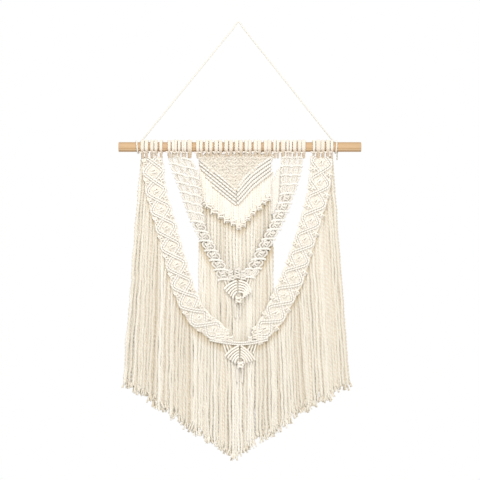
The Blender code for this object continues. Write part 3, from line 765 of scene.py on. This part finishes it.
# (x, z, y of the band's middle, band width)
INNER_GARLAND = [
    (-0.0975, -0.2215, 0.0000, 0.0380), (-0.0957, -0.2442, -0.0010, 0.0315),
    (-0.0883, -0.2706, -0.0025, 0.0320), (-0.0759, -0.3020, -0.0035, 0.0297),
    (-0.0685, -0.3300, -0.0035, 0.0280), (-0.0503, -0.3680, -0.0035, 0.0272),
    (-0.0289, -0.3944, -0.0035, 0.0262), (-0.0025, -0.4109, -0.0035, 0.0200),
    (0.0206, -0.4010, -0.0035, 0.0240), (0.0355, -0.3861, -0.0035, 0.0250),
    (0.0512, -0.3597, -0.0035, 0.0248), (0.0660, -0.3300, -0.0035, 0.0272),
    (0.0759, -0.3020, -0.0035, 0.0280), (0.0850, -0.2755, -0.0025, 0.0300),
    (0.0891, -0.2442, -0.0010, 0.0310), (0.0891, -0.2215, 0.0000, 0.0370),
]


def read_table(rows, fractions):
    """A table's columns at fractions of its length, on a smooth curve through its rows."""
    rows = np.array(rows, float)
    along = way_along(rows[:, :2])
    slopes = np.gradient(rows, along, axis=0)
    at = np.atleast_1d(fractions) * along[-1]
    i = np.clip(np.searchsorted(along, at, side="right") - 1, 0, len(rows) - 2)
    span = (along[i + 1] - along[i])[:, None]
    t = (at - along[i])[:, None] / span
    ends = rows[i] * (2 * t**3 - 3 * t**2 + 1) + rows[i + 1] * (3 * t**2 - 2 * t**3)
    bend = slopes[i] * (t**3 - 2 * t**2 + t) + slopes[i + 1] * (t**3 - t**2)
    return ends + bend * span


def on_band(rows, fractions, across, forward):
    """Points on a band at a distance across it and in front of it. Across is positive outwards."""
    fractions = np.atleast_1d(fractions)
    here = read_table(rows, fractions)
    ahead = read_table(rows, np.clip(fractions + 0.002, 0, 1))
    behind = read_table(rows, np.clip(fractions - 0.002, 0, 1))
    way = ahead[:, :2] - behind[:, :2]
    way /= np.linalg.norm(way, axis=1)[:, None]
    outwards = np.stack([way[:, 1], -way[:, 0]], axis=1)
    flat = here[:, :2] + outwards * np.atleast_1d(across)[:, None]
    return np.stack([flat[:, 0], here[:, 2] - forward, flat[:, 1]], axis=1)


# Rows of hitches cross the band. Between two rows, ropes from the middle of the upper one part
# round a small hole and meet again at the middle of the lower one.
# (z, left x, right x, fall from left to right) of each row, from the bottom of the arm to its top
INNER_LEFT_ROWS = [
    (-0.4249, -0.0338, -0.0124, 0.0000), (-0.4087, -0.0404, -0.0165, 0.0010),
    (-0.3932, -0.0479, -0.0256, 0.0012), (-0.3772, -0.0561, -0.0338, 0.0014),
    (-0.3614, -0.0644, -0.0421, 0.0024), (-0.3453, -0.0718, -0.0500, 0.0032),
    (-0.3300, -0.0792, -0.0555, 0.0045), (-0.3147, -0.0850, -0.0580, 0.0062),
    (-0.2995, -0.0908, -0.0600, 0.0080), (-0.2843, -0.0965, -0.0605, 0.0095),
    (-0.2690, -0.1023, -0.0615, 0.0105), (-0.2538, -0.1089, -0.0640, 0.0115),
    (-0.2384, -0.1139, -0.0680, 0.0115), (-0.2236, -0.1163, -0.0762, 0.0110),
]
INNER_RIGHT_ROWS = [
    (-0.4214, 0.0041, 0.0272, 0.0000), (-0.4071, 0.0107, 0.0380, -0.0010),
    (-0.3911, 0.0215, 0.0446, -0.0010), (-0.3746, 0.0297, 0.0520, -0.0010),
    (-0.3581, 0.0380, 0.0602, -0.0014), (-0.3424, 0.0470, 0.0693, -0.0016),
    (-0.3275, 0.0545, 0.0759, -0.0010), (-0.3128, 0.0602, 0.0825, -0.0006),
    (-0.2987, 0.0652, 0.0875, -0.0008), (-0.2833, 0.0685, 0.0924, -0.0010),
    (-0.2681, 0.0701, 0.0974, -0.0010), (-0.2529, 0.0701, 0.1015, 0.0000),
    (-0.2376, 0.0701, 0.1048, 0.0000), (-0.2236, 0.0710, 0.1064, 0.0000),
]
INNER_FACE = -0.0035  # y of the net, below where it leans out from the dowel


def on_row(row, share, forward):
    """A place on a row of hitches: at its left end at share 0, at its right end at share 1."""
    z, left, right, fall = row
    lean = np.interp(z, (-0.26, -0.2215), (INNER_FACE, 0.0))
    return np.array((left + (right - left) * share, lean - forward, z - fall * (share - 0.5)))


# (way along a bar from its middle, towards the front, up): its ends tuck in behind the ropes
BAR_ARC = [
    (-0.98, -0.0008, -0.0014), (-0.80, 0.0014, -0.0003), (-0.35, 0.0026, 0.0006),
    (0.35, 0.0026, 0.0006), (0.80, 0.0014, -0.0003), (0.98, -0.0008, -0.0014),
]
CELL_WIDTH = 0.017
# (way down a cell, share of its width) along a rope that parts round its middle
CELL_CURVE = [(0.0, 0.16), (0.2, 0.66), (0.5, 1.0), (0.8, 0.66), (1.0, 0.16)]
# by the number of cells side by side: (share of the cell, radius, towards the front, how much
# deeper in colour where it lies in shade) of the ropes that part on each side of its middle
CELL_ROPES = {
    1: [(0.54, 0.0018, -0.001, 0.8), (0.88, 0.0019, 0.0006, 0.0)],
    2: [(0.28, 0.0017, 0.0014, 0.0), (0.62, 0.0019, -0.0004, 0.4), (0.94, 0.0018, 0.0002, 0.0)],
}


def cells_across(row):
    """How many cells hang side by side from a row."""
    return min(2, max(1, round((row[2] - row[1]) / CELL_WIDTH)))


def net_cell(above, below, cell, cells):
    """The ropes of one cell between two rows."""
    ropes = []
    for hand in (-1, 1):
        for out, thick, forward, shade in CELL_ROPES[cells]:
            line = []
            for part, spread in CELL_CURVE:
                share = (cell + 0.5) / cells + hand * out * spread / 2 / cells
                upper, lower = on_row(above, share, forward), on_row(below, share, forward)
                line.append(upper + (lower - upper) * part)
            points, faces, fibre, sunk, tone = strand(line, thick, step=0.0014)
            ropes.append((points, faces, fibre, sunk + shade, tone))
    return ropes


inner_net = []
for rows in (INNER_LEFT_ROWS, INNER_RIGHT_ROWS):
    for row in rows:
        cells = cells_across(row)
        for cell in range(cells):
            bar = [
                on_row(row, (cell + 0.5 + along / 2) / cells, forward) + (0.0, 0.0, up)
                for along, forward, up in BAR_ARC
            ]
            inner_net.append(hitched(bar, 0.0019 if cells > 1 else 0.0021, groove=0.16))
    for below, above in zip(rows, rows[1:]):
        cells = cells_across(above)
        for cell in range(cells):
            inner_net += net_cell(above, below, cell, cells)
        if cells == 1:
            middle, foot = on_row(above, 0.5, 0.0012), on_row(below, 0.5, 0.0012)
            inner_net += square_knot(
                (middle + foot) / 2, foot - middle, radius=0.0016, half_wide=0.0052, reach=0.006,
            )
# Loose ropes down the inner edge of the right arm, which close the gap beside the centre panel.
for x, top, foot in (
    (0.0560, -0.2700, -0.3180), (0.0593, -0.2640, -0.3160), (0.0626, -0.2560, -0.3100),
    (0.0659, -0.2520, -0.3020), (0.0692, -0.2480, -0.2900),
):
    line = [(x + 0.0030, 0.0020, top + 0.012), (x, 0.0030, top), (x - 0.0010, 0.0030, foot)]
    inner_net.append(strand(line, radius=0.0022, step=0.0022))
# (x, z, half width) of the knots in which the two arms meet above the leaf
INNER_MEETING = [
    (-0.0130, -0.4150, 0.0050), (0.0080, -0.4140, 0.0048), (-0.0022, -0.4105, 0.0050),
    (-0.0110, -0.4225, 0.0056), (0.0080, -0.4215, 0.0056), (-0.0015, -0.4190, 0.0056),
]
for x, z, half_wide in INNER_MEETING:
    middle = np.array((x, INNER_FACE - 0.0008, z))
    inner_net += square_knot(middle, DOWN, radius=0.0018, half_wide=half_wide, reach=0.0044)
netted_cotton = cotton_material(
    "netted_cotton", pale=(0.950, 0.936, 0.900), deep=(0.58, 0.49, 0.36),
    patches=0.06, fibres=0.08, strands=0.06, shade_paint=0.42,
)
lay_up("inner_garland_net", inner_net, netted_cotton, "inner_garland")

# (side, distance out and down from the leaf's top to its corner, bow of the bars) of each half
INNER_LEAF = [(-1, 0.0228, 0.0149, 0.0018), (1, 0.0213, 0.0206, 0.0058)]
OUTER_LEAF = [(-1, 0.0243, 0.0182, 0.0018), (1, 0.0250, 0.0250, 0.0022)]
LEAF_BARS = 5
LEAF_TIP = np.array((0.008, 0.03))  # where the lowest bar ends, out and down
LEAF_KNOT_DROP = 0.0325


def leaf(top, halves, stalks):
    """A leaf: bars like veins on both sides of a slit, drawn together in a knot at its foot. Its
    stalks are the ropes on each side that come down to it from the garland."""
    top = np.array(top)
    ropes = []

    def spot(side, across, drop, forward=0.0):
        return top + (side * across, -forward, -drop)

    for side, corner_out, corner_down, bow in halves:
        for bar in range(LEAF_BARS):
            low = bar / (LEAF_BARS - 1)
            start = np.array((0.0016, 0.001 + 0.0045 * bar))
            end = np.array((corner_out, corner_down)) * (1 - low) + LEAF_TIP * low
            way = (end - start) / np.linalg.norm(end - start)
            sideways = np.array((way[1], -way[0])) * bow
            line = []
            for part in np.linspace(0.0, 1.0, 6):
                across, drop = start + (end - start) * part + sideways * math.sin(math.pi * part)
                forward = 0.0028 * math.sin(math.pi * (0.15 + 0.7 * part))
                line.append(spot(side, across, drop, forward))
            ropes.append(hitched(line, 0.0017, pitch=0.0042, groove=0.16))
        for stalk in range(stalks):
            out = 0.013 + 0.0048 * stalk
            line = [
                spot(side, out + 0.004, -0.003, -0.003),
                spot(side, out + 0.003, 0.003, -0.0016),
                spot(side, out - 0.001, 0.01 + 0.0022 * stalk, -0.001),
            ]
            ropes.append(strand(line, radius=0.0015, step=0.0014))
        tail = [
            spot(side, 0.003, LEAF_KNOT_DROP + 0.002, 0.001),
            spot(side, 0.0046, LEAF_KNOT_DROP + 0.01, -0.001),
            spot(side, 0.004, LEAF_KNOT_DROP + 0.03, -0.003),
        ]
        ropes.append(strand(tail, radius=0.0021, step=0.0022))
    middle = spot(1, 0.0012, LEAF_KNOT_DROP, 0.0022)
    return ropes + square_knot(middle, DOWN, radius=0.0021, half_wide=0.0058, reach=0.0048)


inner_leaf = leaf((-0.0012, -0.0072, -0.4257), INNER_LEAF, stalks=2)
lay_up("inner_leaf", inner_leaf, knotted_cotton, "inner_garland")

# ---- The inner fringe ----
# The inner garland's ropes leave it at its lower edge, hang loose behind the outer garland and are
# cut to a point.

# (x at the root, x at the tip, z at the tip) along the fringe
INNER_TIPS = np.array([
    (-0.0650, -0.0660, -0.6200), (-0.0020, -0.0020, -0.6600), (0.0560, 0.0565, -0.6150),
])
EDGE_INSET = 0.004  # how far the roots lie in from a band's outer edge, behind it


def edge_fringe(rows, tips, count, layer, back, radius, wave, ragged):
    """Ropes hung from behind a band's outer edge, side by side, down to an outline of tips."""
    fractions = np.linspace(0.001, 0.999, 1500)
    half = read_table(rows, fractions)[:, 3] / 2
    edge = on_band(rows, fractions, half - EDGE_INSET, -back)
    ropes = []
    for tip_x in tips[0, 1] + (tips[-1, 1] - tips[0, 1]) * (np.arange(count) + layer) / count:
        tip_x += stray(0.0006)
        x = read_at(tip_x, tips, 1, 0)
        root_x, root_y, root_z = (read_at(x, edge, 0, k) for k in range(3))
        shorter = ragged * np.clip(chance.normal(0.3, 1.0), -0.5, 2)
        tip_z = read_at(tip_x, tips, 1, 2) + shorter
        y = root_y + stray(0.0006)
        pull, tone = bunched(tip_x, layer)
        tip = (tip_x + chance.normal(0, 1.5 * wave), y + 0.001, tip_z)
        ropes += hanging_rope((root_x, root_y, root_z + 0.002), tip, radius, wave, pull, tone)
    return ropes


INNER_STRANDS = 25
inner_ropes = []
for layer, back, radius in ((FRONT_LAYER, 0.002, 0.0028), (BACK_LAYER, 0.004, 0.0034)):
    inner_ropes += edge_fringe(
        INNER_GARLAND, INNER_TIPS, INNER_STRANDS, layer, back, radius, wave=0.0006, ragged=0.005,
    )
lay_up("inner_fringe_ropes", inner_ropes, fringe_cotton, "inner_fringe")

# ---- The outer garland ----
# Two broad arms of double bars that cross in a chain of diamonds, each about a plump square knot.
# Small knots fill the corners along both edges, and a long double bar joins the arms below.

# (x, z, y of the arm's middle, arm width), from the left top and on from the bottom to the right
LEFT_ARM = [
    (-0.1427, -0.2215, 0.0000, 0.0380), (-0.1361, -0.2772, -0.0040, 0.0370),
    (-0.1196, -0.3366, -0.0095, 0.0370), (-0.1023, -0.3993, -0.0100, 0.0370),
    (-0.0825, -0.4587, -0.0100, 0.0385), (-0.0660, -0.4868, -0.0100, 0.0370),
    (-0.0429, -0.5057, -0.0100, 0.0340), (-0.0200, -0.5205, -0.0100, 0.0240),
]
RIGHT_ARM = [
    (0.0270, -0.5215, -0.0100, 0.0220), (0.0465, -0.5015, -0.0100, 0.0330),
    (0.0590, -0.4840, -0.0100, 0.0370), (0.0716, -0.4587, -0.0100, 0.0390),
    (0.0868, -0.4274, -0.0100, 0.0400), (0.1023, -0.3820, -0.0100, 0.0370),
    (0.1163, -0.3366, -0.0095, 0.0350), (0.1320, -0.2772, -0.0040, 0.0380),
    (0.1375, -0.2215, 0.0000, 0.0380),
]
OUTER_GARLAND = LEFT_ARM + [(0.003, -0.5245, -0.01, 0.015)] + RIGHT_ARM
BAR_RADIUS = 0.0017
BAR_ROUNDING = 0.0052  # how far from its corners a bar begins to bend
CORNER_REACH = 1.16  # makes up for the width that this bend takes off
BAR_FORWARD = 0.0032  # in front of the arm's middle
BAR_LIFT = 0.0009  # how much more or less where two bars cross
BAR_SPACING = 1.05  # from the middle of a double bar to each of the two, in their radii
CORNER_KNOT_OUT = 0.68  # the place of a corner knot, as a share of the arm's half width
ARM_END = 0.004  # how near to an arm's end a crossing may lie
SCALLOP = 0.14  # share of an arm's half width by which its edges are drawn in between the corners
# (ropes, reach over the half width, share by which a crossing draws them together, towards the
# front, lift at a crossing, step, radius, groove, flat) of the two layers of ropes behind the bars
ARM_LAYERS = [
    (9, 0.84, 0.42, 0.0006, 0.0006, 0.0022, 0.0020, 0.14, 0.8),
    (8, 0.88, 0.0, -0.0008, 0.0, 0.0024, 0.0025, 0.22, 1.0),
]


def zigzag(along, crossing, rise, pitch, wave):
    """How far a bar lies across its arm: -1 at a corner on the inner edge, 1 on the outer one."""
    inner_corners = crossing - rise / 2 + pitch * (2 * np.arange(-8, 9) + wave)
    corners = np.stack([inner_corners, inner_corners + rise], axis=1).ravel()
    return np.interp(along, corners, np.tile((-1.0, 1.0), len(inner_corners)))


def diamond_arm(rows, pitch, crossing, rise, leading, lean):
    """The bars and the knots of one arm. pitch is the way along it from a crossing to the next,
    and rise the way that a bar takes from the inner edge to the outer one. Bars that go outwards
    along the table lie in front where leading is 1, and behind where it is -1. lean is how far the
    knots turn across the arm."""
    length = way_along(read_table(rows, np.linspace(0, 1, 300))[:, :2])[-1]
    bars, knots = [], []

    def place(along, across, forward):
        return on_band(rows, along / length, across, forward)

    def half_at(along):
        return read_table(rows, along / length)[:, 3] / 2

    def way_at(along):
        way = place(along + 0.002, 0.0, 0.0)[0] - place(along - 0.002, 0.0, 0.0)[0]
        return way + lean * np.cross(way, (0.0, 1.0, 0.0))

    along = np.linspace(0.002, length - 0.001, round(length / 0.0022))
    for wave in (0, 1):
        course = (crossing, rise, pitch, wave)
        swing = np.mean([
            zigzag(along + shift, *course) for shift in np.linspace(-BAR_ROUNDING, BAR_ROUNDING, 9)
        ], axis=0)
        swing = np.clip(swing * CORNER_REACH, -1.0, 1.0)
        slope = np.sign(zigzag(along + 0.0005, *course) - zigzag(along - 0.0005, *course))
        slope = np.convolve(np.pad(slope, 3, mode="edge"), np.ones(7) / 7, mode="valid")
        lift = (1 - np.abs(swing)) * slope
        across = swing * (half_at(along) - 2 * BAR_RADIUS)
        centre = place(along, across, BAR_FORWARD + BAR_LIFT * leading * lift)
        beside = np.cross(np.gradient(centre, axis=0), (0.0, 1.0, 0.0))
        beside /= np.linalg.norm(beside, axis=1)[:, None]
        for shift in (-1, 1):
            line = centre + beside * shift * BAR_RADIUS * BAR_SPACING
            bars.append(hitched(line, BAR_RADIUS, pitch=0.0046, groove=0.12))

    # Small knots fill the corners along both edges, and a plump one sits in each diamond.
    first = math.ceil((ARM_END - crossing) / pitch)
    last = math.floor((length - ARM_END - crossing) / pitch)
    for k in range(first, last + 1):
        for edge in (-1, 1):
            spot = crossing + k * pitch + edge * (rise - pitch) / 2
            middle = place(spot, edge * half_at(spot)[0] * CORNER_KNOT_OUT, 0.0004)[0]
            knots += square_knot(middle, way_at(spot), 0.0016, half_wide=0.0042, reach=0.0066)
    for k in range(first - 1, last + 1):
        spot = crossing + (k + 0.5) * pitch
        if 0.008 < spot < length - 0.006:
            middle = place(spot, 0.0, 0.0006)[0]
            half_wide = min(0.4 * half_at(spot)[0], 0.0062)
            knots += square_knot(middle, way_at(spot), 0.0018, half_wide, reach=0.0046, relief=0.8)

    pinch = 0.5 - 0.5 * np.cos(2 * math.pi * (along - crossing) / pitch)
    for ropes, reach, gather, forward, lift, step, radius, groove, flat in ARM_LAYERS:
        for share in np.linspace(-reach, reach, ropes):
            corner = crossing + math.copysign(1, share) * rise / 2
            drawn_in = SCALLOP * (0.5 - 0.5 * np.cos(2 * math.pi * (along - corner) / pitch))
            across = half_at(along) * share * (1 - drawn_in * abs(share)) * (1 - gather * pinch)
            line = place(along, across, forward + lift * pinch)
            knots.append(strand(line, radius, step, groove=groove, flat=flat))
    return bars, knots


left_bars, left_knots = diamond_arm(
    LEFT_ARM, pitch=0.0318, crossing=0.0727, rise=0.0318, leading=-1, lean=0.3,
)
right_bars, right_knots = diamond_arm(
    RIGHT_ARM, pitch=0.0326, crossing=0.006, rise=0.026, leading=1, lean=2.5,
)
JOINING_BAR = [
    (-0.0480, -0.0128, -0.5225), (-0.0240, -0.0130, -0.5272), (0.0030, -0.0132, -0.5298),
    (0.0260, -0.0130, -0.5275), (0.0490, -0.0128, -0.5222),
]
joining = []
for lift in (-1, 1):
    line = [(x, y - 0.0004 * lift, z + lift * BAR_RADIUS * 1.04) for x, y, z in JOINING_BAR]
    joining.append(hitched(line, BAR_RADIUS * 1.05))
outer_bars = left_bars + right_bars + joining
lay_up("outer_garland_bars", outer_bars, hitched_cotton, "outer_garland")
# (x, z, half width) of the small knots that fill the arms' ends above the joining bar
OUTER_MEETING = [
    (-0.0270, -0.5110, 0.0046), (-0.0190, -0.5165, 0.0046), (-0.0130, -0.5222, 0.0046),
    (-0.0190, -0.5228, 0.0040), (-0.0260, -0.5200, 0.0046), (-0.0340, -0.5165, 0.0046),
    (0.0350, -0.5120, 0.0046), (0.0270, -0.5185, 0.0046), (0.0190, -0.5225, 0.0040),
    (0.0350, -0.5205, 0.0046),
]
meeting = []
for x, z, half_wide in OUTER_MEETING:
    middle = np.array((x, -0.0112, z))
    meeting += square_knot(middle, DOWN, radius=0.0017, half_wide=half_wide, reach=0.0044)
outer_knots = left_knots + right_knots + meeting
lay_up("outer_garland_knots", outer_knots, knotted_cotton, "outer_garland")
outer_leaf = leaf((0.0021, -0.0132, -0.5323), OUTER_LEAF, stalks=3)
lay_up("outer_leaf", outer_leaf, knotted_cotton, "outer_garland")

# ---- The outer fringe ----
# The longest ropes: they hang from the whole lower edge of the outer garland, spread a little
# towards the sides, and are trimmed to a broad point.

# (x at the root, x at the tip, z at the tip) along the fringe
OUTER_TIPS = np.array([
    (-0.1600, -0.1910, -0.5980), (-0.1480, -0.1640, -0.6140), (-0.1180, -0.1230, -0.6420),
    (-0.0780, -0.0800, -0.6750), (-0.0400, -0.0400, -0.6950), (-0.0080, -0.0070, -0.7200),
    (0.0260, 0.0260, -0.6970), (0.0640, 0.0680, -0.6730), (0.1010, 0.1120, -0.6390),
    (0.1330, 0.1480, -0.6220), (0.1545, 0.1830, -0.6000),
])
OUTER_STRANDS = 69
# (piece, layer, distance behind the garland, radius, waves, unevenness of the tips)
for name, *layer in (
    ("outer_fringe_front", FRONT_LAYER, 0.0016, 0.0028, 0.0008, 0.005),
    ("outer_fringe_back", BACK_LAYER, 0.0050, 0.0040, 0.0004, 0.006),
):
    outer_ropes = edge_fringe(OUTER_GARLAND, OUTER_TIPS, OUTER_STRANDS, *layer)
    lay_up(name, outer_ropes, fringe_cotton, "outer_fringe")
